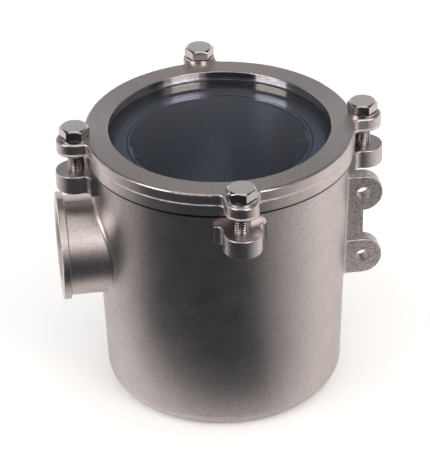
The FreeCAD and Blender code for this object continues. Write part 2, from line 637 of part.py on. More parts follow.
def make_body():
    body = new_body("body_casting")
    shell = new_sketch(body, "wall_profile", "XZ_Plane")
    outline(shell, [(0, 0), ("base_radius", 0), ("mouth_radius", "cast_height"), (0, "cast_height")])
    solid = turned(body, "wall_solid", shell)
    solid = rounded(body, "base_edge", solid,
                    lambda e, f: flat_circle(e, val("base_radius"), 0), "base_round")

    lug = new_sketch(body, "lug_outline", "XY_Plane", "lug_under")
    outline(lug, [
        ("lug_root", "-pad_half_used"), ("pad_face", "-pad_half_used"),
        ("pad_face", "-blend_y", "lug_blend", -1), ("meet_x", "-meet_y", "lug_nose", 1),
        ("lug_tip", 0, "lug_nose", 1), ("meet_x", "meet_y", "lug_blend", -1),
        ("pad_face", "blend_y"), ("pad_face", "pad_half_used"), ("lug_root", "pad_half_used")])
    solid = pad(body, "lug", lug, "lug_thick")
    solid = around(body, "lugs", solid, 4, True)

    lobes = new_sketch(body, "lobe_outline", "XZ_Plane", "-flange_half")
    outline(lobes, [
        ("flange_root", "lobe_high_under"), ("flange_hole_at", "lobe_high_under", "lobe_radius", 1),
        ("lobe_tip", "lobe_high", "lobe_radius", 1),
        ("flange_hole_at", "lobe_high_top"), ("flange_root", "lobe_high_top")])
    outline(lobes, [
        ("flange_root", "lobe_low_under"), ("flange_hole_at", "lobe_low_under", "lobe_radius", 1),
        ("lobe_tip", "lobe_low", "lobe_radius", 1),
        ("flange_hole_at", "lobe_low_top"), ("flange_root", "lobe_low_top")])
    solid = pad(body, "flange_lobes", lobes, "flange_thick")
    solid = rounded(body, "lobe_edges", solid, is_lobe_edge, "edge_round")
    web = new_sketch(body, "web_outline", "XZ_Plane", "-web_half")
    outline(web, [
        ("flange_root", "lobe_low"), ("flange_hole_at", "lobe_low"),
        ("flange_hole_at", "lobe_high"), ("flange_root", "lobe_high")])
    web_pad = body.newObject("PartDesign::Pad", "flange_web")
    web_pad.Profile = web
    web_pad.setExpression("Length", "2 * Sizes.web_half")
    solid = finish_step(body, web_pad, True)

    def port(label, side, inner):
        sketch = new_sketch(body, label + "_profile", side)
        sign = "-"
        if side == "YZ_Plane":
            sign = ""
        outline(sketch, [
            (sign + inner, "port_height"), (sign + "port_reach", "port_height"),
            (sign + "port_reach", "collar_top"), (sign + "port_collar_in", "collar_top"),
            (sign + "port_collar_in", "tube_top"), (sign + "tube_root", "tube_top"),
            (sign + "tube_root", "spigot_top"), (sign + inner, "spigot_top")])
        port_axis(sketch)
        return turned(body, label + "_tube", sketch, (sketch, ["Axis0"]))

    def port_way(label, side):
        sketch = new_sketch(body, label + "_way_profile", side)
        sign = "-"
        if side == "YZ_Plane":
            sign = ""
        outline(sketch, [
            (sign + "port_root", "port_height"), (sign + "port_reach", "port_height"),
            (sign + "port_reach", "lead_top"), (sign + "thread_lead_at", "thread_top"),
            (sign + "thread_end", "thread_top"), (sign + "thread_end", "waterway_top"),
            (sign + "port_root", "waterway_top")])
        port_axis(sketch)
        return grooved(body, label + "_way", sketch, (sketch, ["Axis0"]))

    def port_axis(sketch):
        line = Part.LineSegment(FreeCAD.Vector(-10, val("port_height"), 0),
                                FreeCAD.Vector(10, val("port_height"), 0))
        geo = sketch.addGeometry(line, True)
        sketch.addConstraint(Sketcher.Constraint("Horizontal", geo))
        index = sketch.addConstraint(
            Sketcher.Constraint("DistanceY", -1, 1, geo, 1, val("port_height")))
        sketch.renameConstraint(index, "axis_height")
        bind(sketch, "Constraints.axis_height", "port_height")
        doc.recompute()

    solid = port("outlet", "YZ_Plane", "port_root")

    cavity = new_sketch(body, "cavity_profile", "XZ_Plane")
    outline(cavity, [
        (0, "floor_thick"), ("wall_in_low", "floor_thick"), ("wall_in_top", "slope_foot"),
        ("bore_radius", "land_under"), ("bore_radius", "seat_height"),
        ("seat_radius", "seat_height"), ("seat_radius", "cast_height"), (0, "cast_height")])
    solid = grooved(body, "cavity", cavity)
    solid = rounded(body, "cavity_edge", solid,
                    lambda e, f: flat_circle(e, val("wall_in_low"), val("floor_thick")), "floor_round")
    groove = new_sketch(body, "seal_groove_profile", "XZ_Plane")
    outline(groove, [
        ("groove_in", "groove_floor"), ("groove_out", "groove_floor"),
        ("groove_out", "cast_height"), ("groove_in", "cast_height")])
    solid = grooved(body, "seal_groove", groove)
    solid = port("inlet", "XZ_Plane", "port_root")
    clear = new_sketch(body, "basket_way", "XY_Plane", "shell_foot")
    disc(clear, 0, 0, "spigot_radius")
    solid = pocket(body, "basket_clearance", clear, "shell_height", True)

    solid = rounded(body, "port_blends", solid, is_port_foot, "port_blend")
    solid = rounded(body, "flange_blends", solid, is_flange_foot, "flange_blend")
    solid = rounded(body, "collar_edges", solid, is_collar_edge, "edge_round")
    solid = port_way("inlet", "XZ_Plane")
    solid = port_way("outlet", "YZ_Plane")

    bores = new_sketch(body, "bolt_bore", "XY_Plane", "lug_under")
    disc(bores, "bolt_circle", 0, "tap_radius")
    solid = pocket(body, "lug_bore", bores, "lug_thick", True)
    solid = around(body, "lug_bores", solid, 4, False)
    holes = new_sketch(body, "flange_hole_circles", "XZ_Plane", "-flange_half")
    disc(holes, "flange_hole_at", "lobe_high", "flange_hole")
    disc(holes, "flange_hole_at", "lobe_low", "flange_hole")
    solid = pocket(body, "flange_holes", holes, "flange_thick", True)
    solid = rounded(body, "lug_edges", solid, is_lug_edge, "edge_round")
    return body


def make_ring():
    body = new_body("cover_ring")
    section = new_sketch(body, "ring_profile", "XZ_Plane")
    outline(section, [
        ("sight_radius", "lip_under"), ("recess_radius", "lip_under"),
        ("recess_radius", "ring_under"), ("lower_rim", "ring_under"),
        ("lower_rim", "rim_step_at"), ("ring_radius", "rim_step_at"),
        ("ring_radius", "ring_top"), ("sight_radius", "ring_top")])
    solid = turned(body, "ring_solid", section)
    ear = new_sketch(body, "ear_outline", "XY_Plane", "ear_under")
    outline(ear, [
        ("ear_root", "-ear_foot_y"), ("ear_foot_x", "-ear_foot_y", "ear_blend", -1),
        ("ear_turn", "-ear_nose"), ("ear_centre", "-ear_nose", "ear_nose", 1),
        ("ear_tip", 0, "ear_nose", 1), ("ear_centre", "ear_nose"),
        ("ear_turn", "ear_nose", "ear_blend", -1), ("ear_foot_x", "ear_foot_y"),
        ("ear_root", "ear_foot_y")])
    solid = pad(body, "ear", ear, "ear_thick")
    solid = around(body, "ears", solid, 4, True)
    top = val("ring_top")

    def is_top_edge(edge, faces):
        point = middle(edge)
        return near(point.z, top) and math.hypot(point.x, point.y) > val("ring_radius") - 0.1

    solid = rounded(body, "top_edges", solid, is_top_edge, "ring_round")
    solid = rounded(body, "sight_edge", solid,
                    lambda e, f: flat_circle(e, val("sight_radius"), top), "sight_round")
    bore = new_sketch(body, "ear_bore_circle", "XY_Plane", "ear_under")
    disc(bore, "bolt_circle", 0, "ear_bore")
    solid = pocket(body, "ear_bore_cut", bore, "ear_thick", True)
    around(body, "ear_bores", solid, 4, False)
    return body


def washer_like(label, outer, inner, base, height):
    # A flat ring: one pad from two circles.
    body = new_body(label)
    sketch = new_sketch(body, label + "_circles", "XY_Plane", base)
    disc(sketch, 0, 0, outer)
    disc(sketch, 0, 0, inner)
    pad(body, label + "_pad", sketch, height)
    return body


def make_window():
    body = new_body("window")
    sketch = new_sketch(body, "window_circle", "XY_Plane", "window_under")
    disc(sketch, 0, 0, "window_radius")
    solid = pad(body, "window_disc", sketch, "window_thick")
    rounded(body, "window_bevels", solid,
            lambda e, f: isinstance(e.Curve, Part.Circle), "window_bevel", "PartDesign::Chamfer")
    return body


def make_seal():
    seal = doc.addObject("Part::Torus", "body_seal")
    seal.Label = "body_seal"
    bind(seal, "Radius1", "seal_radius")
    bind(seal, "Radius2", "seal_half")
    bind(seal, ".Placement.Base.z", "seal_middle")
    doc.recompute()
    return seal


def place(body, x, y, z, turn):
    # Moves a finished body to its seat and turns it about its own axis.
    spot = FreeCAD.Vector(val(x), val(y), val(z))
    body.Placement = FreeCAD.Placement(spot, FreeCAD.Rotation(FreeCAD.Vector(0, 0, 1), turn))
    for axis, name in (("x", x), ("y", y), ("z", z)):
        if name != 0:
            bind(body, ".Placement.Base." + axis, name)


def make_bolt(label, x, y, turn):
    # Drawn with the underside of the head at the origin.
    body = new_body(label)
    hexagon = new_sketch(body, label + "_hexagon", "XY_Plane")
    outline(hexagon, [
        ("head_corner", 0), ("head_half", "flat_half"), ("-head_half", "flat_half"),
        ("-head_corner", 0), ("-head_half", "-flat_half"), ("head_half", "-flat_half")])
    pad(body, label + "_head", hexagon, "head_height")
    bevel = new_sketch(body, label + "_bevel_profile", "XZ_Plane")
    outline(bevel, [("head_face", "head_height"), ("head_out", "head_slope"), ("head_out", "head_height")])
    grooved(body, label + "_bevel", bevel)
    circle = new_sketch(body, label + "_circle", "XY_Plane")
    disc(circle, 0, 0, "bolt_radius")
    solid = pad(body, label + "_shank", circle, "bolt_length", True)
    rounded(body, label + "_tip", solid,
            lambda e, f: flat_circle(e, val("bolt_radius"), -val("bolt_length")),
            "bolt_tip", "PartDesign::Chamfer")
    place(body, x, y, "head_under", turn)
    return body


def make_washer(label, x, y):
    body = new_body(label)
    sketch = new_sketch(body, label + "_circles", "XY_Plane")
    disc(sketch, 0, 0, "washer_radius")
    disc(sketch, 0, 0, "washer_bore")
    pad(body, label + "_pad", sketch, "washer_thick")
    place(body, x, y, "ring_top", 0)
    return body


def make_shell():
    body = new_body("basket_shell")
    sketch = new_sketch(body, "shell_circles", "XY_Plane", "shell_foot")
    disc(sketch, 0, 0, "basket_radius")
    disc(sketch, 0, 0, "shell_in")
    pad(body, "shell_wall", sketch, "shell_height")
    feed = new_sketch(body, "feed_circle", "YZ_Plane")
    disc(feed, 0, "port_height", "feed_radius")
    pocket(body, "feed_opening", feed, "basket_radius")
    columns = int(val("perf_columns"))
    rows = int(val("perf_rows"))
    sets = (("one", "row_one", "perf_start", columns, rows, "perf_sweep"),
            ("two", "row_two", "perf_start_two", columns - 1, rows - 1, "perf_sweep_two"))
    for label, first, start, across, up, sweep in sets:
        column = new_sketch(body, "column_" + label, "YZ_Plane", None, val(start))
        for k in range(up):
            disc(column, 0, row_name(first, k), "perf_radius")
        cut = pocket(body, "holes_" + label, column, "basket_radius", True)
        pattern = body.newObject("PartDesign::PolarPattern", "pattern_" + label)
        pattern.Originals = [cut]
        pattern.Axis = (origin_part(body, "Z_Axis"), [""])
        pattern.Angle = val(sweep)
        bind(pattern, "Angle", sweep)
        pattern.Occurrences = across
        finish_step(body, pattern, False)
    return body


def make_pan():
    body = new_body("basket_base")
    section = new_sketch(body, "pan_profile", "XZ_Plane")
    outline(section, [
        (0, "shell_foot"), ("pan_radius", "shell_foot"), ("pan_radius", "pan_edge"),
        ("pan_in", "pan_edge"), ("pan_in", "pan_floor"), (0, "pan_floor")])
    turned(body, "pan_solid", section)
    for label, at, count in (("one", "pan_ring_one", 6), ("two", "pan_ring_two", 12)):
        sketch = new_sketch(body, "pan_hole_" + label, "XY_Plane", "shell_foot")
        disc(sketch, at, 0, "pan_hole")
        hole = pocket(body, "pan_cut_" + label, sketch, "sheet_thick", True)
        around(body, "pan_holes_" + label, hole, count, False)
    return body


def make_bail():
    body = new_body("basket_bail")
    path = new_sketch(body, "bail_path", "XY_Plane", "bail_height")
    outline(path, [
        ("-bail_far", 0), ("-bail_turn", 0, "bail_bend", -1), ("-bail_half", "-bail_bend"),
        ("-bail_half", "-bail_offset", "bail_half", 1), (0, "-bail_depth", "bail_half", 1),
        ("bail_half", "-bail_offset"), ("bail_half", "-bail_bend", "bail_bend", -1),
        ("bail_turn", 0), ("bail_far", 0)], closed=False)
    section = new_sketch(body, "bail_section", "YZ_Plane", "-bail_far")
    disc(section, 0, "bail_height", "bail_wire")
    doc.recompute()
    pipe = body.newObject("PartDesign::AdditivePipe", "bail_sweep")
    pipe.Profile = section
    pipe.Spine = path
    finish_step(body, pipe, True)
    return body


def make_tab(label, start):
    body = new_body(label)
    sketch = new_sketch(body, label + "_outline", "YZ_Plane", start)
    outline(sketch, [
        ("-tab_half", "tab_top"), ("-tab_half", "tab_straight", "tab_half", 1),
        (0, "tab_foot", "tab_half", 1), ("tab_half", "tab_straight"), ("tab_half", "tab_top")])
    disc(sketch, 0, "bail_height", "tab_hole")
    pad(body, label + "_plate", sketch, "tab_thick")
    return body


nodes = [make_body(), make_ring(), make_window(), make_seal()]
nodes.append(washer_like("window_gasket", "gasket_out", "gasket_in", "window_top", "gasket_thick"))
spots = (("front", 0, "-bolt_circle", 8.7), ("right", "bolt_circle", 0, 15.0),
         ("back", 0, "bolt_circle", 27.4), ("left", "-bolt_circle", 0, 22.4))
for side, spot_x, spot_y, turn in spots:
    nodes.append(make_bolt("bolt_" + side, spot_x, spot_y, turn - HEX_CORNER_DEGREES))
    nodes.append(make_washer("washer_" + side, spot_x, spot_y))
nodes.append(washer_like("basket_rim", "rim_radius", "rim_in", "seat_height", "rim_thick"))
nodes.append(make_shell())
nodes.append(make_pan())
nodes.append(washer_like("basket_hoop", "hoop_out", "hoop_in", "shell_foot", "hoop_height"))
nodes.append(make_bail())
nodes.append(make_tab("bail_ear_right", "tab_in"))
nodes.append(make_tab("bail_ear_left", "-tab_out"))

doc.recompute()
for item in doc.Objects:
    if "Invalid" in item.State or "Error" in item.State:
        raise RuntimeError("%s failed: %s" % (item.Label, item.State))
for node in nodes:
    shape = node.Shape
    if shape.isNull() or not shape.isValid() or len(shape.Solids) != 1:
        raise RuntimeError(node.Label + " has no single valid solid")

os.makedirs("parts", exist_ok=True)
for node in nodes:
    node.Shape.exportStep("parts/" + node.Label + ".step")
    box = node.Shape.BoundBox
    print("%-16s %9.0f mm3  z %6.1f to %6.1f" % (node.Label, node.Shape.Volume, box.ZMin, box.ZMax))
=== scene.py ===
import bpy
import json
import math
from mathutils import Matrix, Vector

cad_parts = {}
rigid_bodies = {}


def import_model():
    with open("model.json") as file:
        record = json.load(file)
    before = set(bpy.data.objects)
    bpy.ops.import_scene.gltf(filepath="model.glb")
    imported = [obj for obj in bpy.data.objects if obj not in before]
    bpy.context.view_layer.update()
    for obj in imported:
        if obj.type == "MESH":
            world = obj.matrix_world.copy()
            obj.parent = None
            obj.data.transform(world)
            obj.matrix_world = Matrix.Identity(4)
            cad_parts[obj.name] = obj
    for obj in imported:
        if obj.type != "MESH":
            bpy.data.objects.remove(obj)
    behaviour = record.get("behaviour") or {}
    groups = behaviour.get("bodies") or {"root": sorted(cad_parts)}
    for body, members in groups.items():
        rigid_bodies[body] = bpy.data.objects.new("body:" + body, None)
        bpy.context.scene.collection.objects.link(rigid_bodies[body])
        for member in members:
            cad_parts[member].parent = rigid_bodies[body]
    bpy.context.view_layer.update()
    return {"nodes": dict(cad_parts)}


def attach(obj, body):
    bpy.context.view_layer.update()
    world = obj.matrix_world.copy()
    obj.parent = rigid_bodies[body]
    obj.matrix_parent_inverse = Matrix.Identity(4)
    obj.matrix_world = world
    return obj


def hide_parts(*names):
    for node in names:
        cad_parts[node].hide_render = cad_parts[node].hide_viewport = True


# Sea water strainer: a nickel-plated cast body with a bolted cover ring, a round window and a perforated
# basket. Sizes of the object are in millimetres, and MM turns them to metres. Angles are in degrees.
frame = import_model()
for spare in [o for o in bpy.data.objects if o.name in ("Cube", "Light", "Camera")]:
    bpy.data.objects.remove(spare)
scene = bpy.context.scene
scene.view_settings.view_transform = "Standard"

MM = 0.001
CAMERA_TURN = 7.6
CAST_TOP = 156.8
RING_UNDER = 157.4
RING_TOP = 173.0
BOLT_CIRCLE = 87.8
BOLT_TIP = 139.6
HEAD_UNDER = 174.6
HEAD_TOP = 181.0
PORT_HEIGHT = 97.4
PORT_FACE = 101.4
BASKET_OUT = 57.0
BASKET_IN = 55.6
BASKET_FOOT = 9.5
BASKET_TOP = 154.2
FEED_RADIUS = 22.0
HOLE_PITCH = 2.1
HOLE_RADIUS = 0.46
SHEET_THICK = 1.2
BEND_RADIUS = 55.7
MESH_COLUMNS = 73
MESH_ROWS = 62
SHARP_ANGLE = 24
# For a lattice of six-sided tiles: the sides of a triangle of 30 degrees, in parts of the pitch.
CORNER_SHARE = 0.57735
COLUMN_SHARE = 0.866025
HALF_COLUMN_SHARE = 0.4330127
WHITE = (1.0, 1.0, 1.0, 1.0)
DARK_ROOM = (0.026, 0.031, 0.040, 1.0)
# Where each bolt stands, and how far its head is turned.
SIDES = {"front": (0, -BOLT_CIRCLE, 8.7), "right": (BOLT_CIRCLE, 0, 15.0), "back": (0, BOLT_CIRCLE, 27.4),
         "left": (-BOLT_CIRCLE, 0, 22.4)}
# What a Mix node needs to mix colours: its colours are inputs 6 and 7. It mixes numbers, inputs 2 and 3, as
# it is.
COLOUR_MIX = {"data_type": "RGBA", "out": 2}


def hexcol(code):
    # sRGB hex to linear colour.
    parts = [int(code[i:i + 2], 16) / 255 for i in (1, 3, 5)]
    return tuple(p / 12.92 if p <= 0.04045 else ((p + 0.055) / 1.055) ** 2.4 for p in parts) + (1.0,)


def add(tree, kind, inputs=(), out=0, **settings):
    # One node with its settings. inputs maps a socket's name or number to a value or to another node's
    # output, and out is the output to hand on. A node without outputs is handed on itself.
    made = tree.nodes.new(kind)
    for key, value in settings.items():
        setattr(made, key, value)
    for key, value in dict(inputs).items():
        if isinstance(value, bpy.types.NodeSocket):
            tree.links.new(value, made.inputs[key])
        else:
            made.inputs[key].default_value = value
    return made.outputs[out] if made.outputs else made


def new_material(name):
    made = bpy.data.materials.new(name)
    made.use_nodes = True
    made.node_tree.nodes.clear()
    return made, made.node_tree


def band(tree, value, low, high, soft):
    # 1 between low and high, 0 outside, with soft edges.
    rise = add(tree, "ShaderNodeMapRange", {0: value, 1: low - soft, 2: low + soft},
               interpolation_type="SMOOTHSTEP")
    fall = add(tree, "ShaderNodeMapRange", {0: value, 1: high - soft, 2: high + soft, 3: 1.0, 4: 0.0},
               interpolation_type="SMOOTHSTEP")
    return add(tree, "ShaderNodeMath", {0: rise, 1: fall}, operation="MULTIPLY")


def plan_radius(tree, x, y):
    # Distance from the upright axis.
    flat = add(tree, "ShaderNodeCombineXYZ", {0: x, 1: y})
    return add(tree, "ShaderNodeVectorMath", {0: flat}, out="Value", operation="LENGTH")


def facing(tree, where):
    # Azimuth and height of a direction or place. The azimuth runs to the right from the line to the camera.
    turned = add(tree, "ShaderNodeVectorRotate", {"Vector": where, "Angle": math.radians(CAMERA_TURN)},
                 rotation_type="Z_AXIS")
    x, y, z = add(tree, "ShaderNodeSeparateXYZ", {0: turned}).node.outputs
    away = add(tree, "ShaderNodeMath", {0: y, 1: -1.0}, operation="MULTIPLY")
    return add(tree, "ShaderNodeMath", {0: x, 1: away}, operation="ARCTAN2"), z


# ---------------------------------------------------------------- studio
def make_camera():
    lens = bpy.data.cameras.new("camera")
    lens.lens = 174.5
    lens.sensor_width = 36.0
    lens.clip_start = 0.05
    lens.clip_end = 60.0
    camera = bpy.data.objects.new("camera", lens)
    scene.collection.objects.link(camera)
    tilt = math.radians(32.22)
    roll = math.radians(1.30)
    place = Vector((-4.13, -1172.9, 836.9)) * MM
    right = Vector((1, 0, 0))
    up = Vector((0, math.sin(tilt), math.cos(tilt)))
    back = Vector((0, -math.cos(tilt), math.sin(tilt)))
    across = right * math.cos(roll) - up * math.sin(roll)
    upward = right * math.sin(roll) + up * math.cos(roll)
    basis = Matrix((across, upward, back)).transposed().to_4x4()
    turn = Matrix.Rotation(math.radians(-CAMERA_TURN), 4, "Z")
    camera.matrix_world = turn @ Matrix.Translation(place) @ basis
    scene.camera = camera


def make_world():
    # White all round for the eye and the glass. Metal sees the same white with the studio in it: a greyer
    # wall on the left, a dim upper wall, a bright ceiling, the dark room in front and a soft box on each
    # side of it.
    world = bpy.data.worlds.new("studio")
    scene.world = world
    world.use_nodes = True
    tree = world.node_tree
    tree.nodes.clear()
    azimuth, rise = facing(tree, add(tree, "ShaderNodeTexCoord", out="Generated"))
    height = add(tree, "ShaderNodeMath", {0: rise}, operation="ARCSINE")
    colour = WHITE
    # Azimuth from and to, height from and to, softness of the edge, and light. A later row covers an
    # earlier one.
    for left, right, low, high, soft, light in (
            (-150, -76, -95, 27, 6, (0.74, 0.72, 0.72, 1.0)),
            (-200, 200, 27, 120, 4, (0.045, 0.05, 0.057, 1.0)),
            (-200, 200, 71, 120, 4, (1.10, 1.02, 0.95, 1.0)),
            (-76, 76, 43, 120, 3, (1.10, 1.02, 0.95, 1.0)),
            (-76, 76, -95, 43, 3, DARK_ROOM),
            (13, 60, 10, 46, 2, (1.45, 1.30, 1.17, 1.0)),
            (-76, -39, 10, 46, 2, (1.25, 1.20, 1.17, 1.0)),
            (20, 50, 20, 45, 1.5, (5.7, 5.4, 5.4, 1.0)),
            (-75, -40, 20, 45, 1.5, (5.4, 5.2, 5.1, 1.0))):
        sideways = band(tree, azimuth, math.radians(left), math.radians(right), math.radians(soft))
        upward = band(tree, height, math.radians(low), math.radians(high), math.radians(soft))
        share = add(tree, "ShaderNodeMath", {0: sideways, 1: upward}, operation="MULTIPLY")
        colour = add(tree, "ShaderNodeMix", {0: share, 6: colour, 7: light}, **COLOUR_MIX)
    path = add(tree, "ShaderNodeLightPath").node.outputs
    shown = add(tree, "ShaderNodeBackground", {0: WHITE, 1: 1.0})
    seen = add(tree, "ShaderNodeBackground", {0: colour, 1: 1.0})
    soft = add(tree, "ShaderNodeBackground", {0: (1.0, 0.99, 0.98, 1.0), 1: 0.95})
    # The zones show in a reflection, and through the glass only behind one.
    bounced = add(tree, "ShaderNodeMath", {0: path["Glossy Depth"], 1: 0.5}, operation="GREATER_THAN")
    unbounced = add(tree, "ShaderNodeMath", {0: 1.0, 1: bounced}, operation="SUBTRACT")
    through = add(tree, "ShaderNodeMath", {0: path["Is Transmission Ray"], 1: unbounced},
                  operation="MULTIPLY")
    direct = add(tree, "ShaderNodeMath", {0: path["Is Camera Ray"], 1: through}, operation="MAXIMUM")
    glossy = add(tree, "ShaderNodeMixShader", {0: path["Is Glossy Ray"], 1: soft, 2: seen})
    glossy = add(tree, "ShaderNodeMixShader", {0: bounced, 1: glossy, 2: seen})
    light = add(tree, "ShaderNodeMixShader", {0: direct, 1: glossy, 2: shown})
    add(tree, "ShaderNodeOutputWorld", {0: light})


def flat_sheet(name, half, height, material):
    # A square of the stage: half its side and its height in metres.
    mesh = bpy.data.meshes.new(name)
    corners = [(-half, -half, height), (half, -half, height), (half, half, height), (-half, half, height)]
    mesh.from_pydata(corners, [], [(0, 1, 2, 3)])
    mesh.materials.append(material)
    made = bpy.data.objects.new(name, mesh)
    scene.collection.objects.link(made)
    return made


def make_floor():
    # A white table. The eye, the glass and the metal see it a little brighter than the light it gives back.
    material, tree = new_material("pale_floor")
    path = add(tree, "ShaderNodeLightPath").node.outputs
    direct = add(tree, "ShaderNodeMath", {0: path["Is Camera Ray"], 1: path["Is Transmission Ray"]},
                 operation="MAXIMUM")
    direct = add(tree, "ShaderNodeMath", {0: direct, 1: path["Is Glossy Ray"]}, operation="MAXIMUM")
    shade = add(tree, "ShaderNodeBsdfDiffuse", {0: (0.90, 0.90, 0.90, 1.0)})
    bright = add(tree, "ShaderNodeBsdfDiffuse", {0: WHITE})
    lifted = add(tree, "ShaderNodeEmission", {0: WHITE, 1: 0.07})
    bright = add(tree, "ShaderNodeAddShader", {0: bright, 1: lifted})
    mixed = add(tree, "ShaderNodeMixShader", {0: direct, 1: shade, 2: bright})
    add(tree, "ShaderNodeOutputMaterial", {0: mixed})
    flat_sheet("floor", 9, -0.0001, material)


def make_dark_front():
    # The dark room in front of the table, which only a reflection sees. It starts near the foot of the
    # object and fades out to both sides.
    material, tree = new_material("dark_room")
    where = add(tree, "ShaderNodeTexCoord", out="Object")
    azimuth = facing(tree, where)[0]
    narrowed = add(tree, "ShaderNodeVectorMath", {0: where, 1: (0.6, 1.0, 1.0)}, operation="MULTIPLY")
    reach = add(tree, "ShaderNodeVectorMath", {0: narrowed}, out="Value", operation="LENGTH")
    left = add(tree, "ShaderNodeMapRange", {0: azimuth, 1: math.radians(-110), 2: math.radians(-58)})
    right = add(tree, "ShaderNodeMapRange", {0: azimuth, 1: math.radians(22), 2: math.radians(92),
                                             3: 1.0, 4: 0.0})
    sector = add(tree, "ShaderNodeMath", {0: left, 1: right}, operation="MULTIPLY")
    far = band(tree, reach, 0.082, 30.0, 0.045)
    share = add(tree, "ShaderNodeMath", {0: sector, 1: far}, operation="MULTIPLY")
    clear = add(tree, "ShaderNodeBsdfTransparent")
    black = add(tree, "ShaderNodeEmission", {0: DARK_ROOM, 1: 1.0})
    mixed = add(tree, "ShaderNodeMixShader", {0: share, 1: clear, 2: black})
    add(tree, "ShaderNodeOutputMaterial", {0: mixed})
    room = flat_sheet("dark_front", 4, 0.0004, material)
    room.visible_camera = False
    room.visible_diffuse = False
    room.visible_transmission = False
    room.visible_shadow = False


def make_lamps():
    # Name, place and width in metres, power in watts, and colour.
    for name, spot, size, power, colour in (
            ("soft_box_right", (0.75, -0.95, 1.05), 0.7, 5.0, "#FFF3E8"),
            ("soft_box_left", (-1.05, -0.55, 0.85), 0.6, 3.0, "#FFFAF6")):
        data = bpy.data.lights.new(name, "AREA")
        data.shape = "SQUARE"
        data.size = size
        data.energy = power
        data.color = hexcol(colour)[:3]
        lamp = bpy.data.objects.new(name, data)
        scene.collection.objects.link(lamp)
        lamp.location = spot
        aim = Vector((0, 0, 0.09)) - Vector(spot)
        lamp.rotation_euler = aim.to_track_quat("-Z", "Y").to_euler()
        lamp.visible_glossy = False


# ---------------------------------------------------------------- finishes
def cast_nickel():
    # Nickel plate over sand-cast bronze: the eye gets a soft pebbled skin under a bright plate, rougher and
    # blotched on the mounting flange, with the port faces and the top face machined and the inside dulled
    # by water. Sand grains of 0.3 mm are drawn as pebbles of 0.9 and 1.3 mm, or they wouldn't show.
    material, tree = new_material("cast_nickel")
    where = add(tree, "ShaderNodeTexCoord", out="Object")
    x, y, z = add(tree, "ShaderNodeSeparateXYZ", {0: where}).node.outputs
    inlet = band(tree, x, -1.0, -(PORT_FACE - 0.3) * MM, 0.1 * MM)
    outlet = band(tree, y, (PORT_FACE - 0.3) * MM, 1.0, 0.1 * MM)
    top = band(tree, z, (CAST_TOP - 0.2) * MM, 1.0, 0.05 * MM)
    # Painted shade: a dark line round the top of the body, just under the cover ring, where the joint lies in
    # shadow.
    seam_shade = band(tree, z, (CAST_TOP - 1.5) * MM, (CAST_TOP - 0.05) * MM, 0.4 * MM)
    wet = band(tree, plan_radius(tree, x, y), 0.0, 68.5 * MM, 0.5 * MM)
    cut = add(tree, "ShaderNodeMath", {0: inlet, 1: outlet}, operation="MAXIMUM")
    cut = add(tree, "ShaderNodeMath", {0: cut, 1: top}, operation="MAXIMUM")
    beside = band(tree, x, 80.0 * MM, 1.0, 2.0 * MM)
    under_lug = band(tree, z, -1.0, 136.0 * MM, 1.0 * MM)
    flange = add(tree, "ShaderNodeMath", {0: beside, 1: under_lug}, operation="MULTIPLY")
    patches = add(tree, "ShaderNodeTexNoise", {"Vector": where, "Scale": 1 / (14.0 * MM), "Detail": 3.0})
    pebble = add(tree, "ShaderNodeTexNoise", {"Vector": where, "Scale": 1 / (1.3 * MM)})
    sand = add(tree, "ShaderNodeTexNoise", {"Vector": where, "Scale": 1 / (0.9 * MM)})
    specks = add(tree, "ShaderNodeMapRange", {0: sand, 1: 0.36, 2: 0.56})
    blots = add(tree, "ShaderNodeMapRange", {0: pebble, 1: 0.40, 2: 0.52, 3: 1.0, 4: 0.0})
    blots = add(tree, "ShaderNodeMath", {0: blots, 1: flange}, operation="MULTIPLY")
    colour = add(tree, "ShaderNodeMix", {0: patches, 6: hexcol("#D1CAC9"), 7: hexcol("#C4BDBC")},
                 **COLOUR_MIX)
    colour = add(tree, "ShaderNodeMix", {0: specks, 6: hexcol("#B4ADAD"), 7: colour}, **COLOUR_MIX)
    for share, code in ((blots, "#9C9594"), (seam_shade, "#2B2A2D"), (cut, "#D6CDC9"), (wet, "#77767C")):
        colour = add(tree, "ShaderNodeMix", {0: share, 6: colour, 7: hexcol(code)}, **COLOUR_MIX)
    rough = add(tree, "ShaderNodeMapRange", {0: patches, 1: 0.3, 2: 0.7, 3: 0.33, 4: 0.40})
    rough = add(tree, "ShaderNodeMix", {0: cut, 2: rough, 3: 0.22})
    rough = add(tree, "ShaderNodeMix", {0: wet, 2: rough, 3: 0.45})
    both = add(tree, "ShaderNodeMix", {0: 0.6, 2: pebble, 3: sand})
    height = add(tree, "ShaderNodeMix", {0: cut, 2: both, 3: 0.5})
    depth = add(tree, "ShaderNodeMix", {0: flange, 2: 0.5, 3: 1.0})
    bump = add(tree, "ShaderNodeBump", {"Strength": depth, "Distance": 0.12 * MM, "Height": height})
    shade = add(tree, "ShaderNodeBsdfPrincipled", {"Base Color": colour, "Metallic": 1.0, "Roughness": rough,
                                                   "Normal": bump})
    add(tree, "ShaderNodeOutputMaterial", {0: shade})
    return material


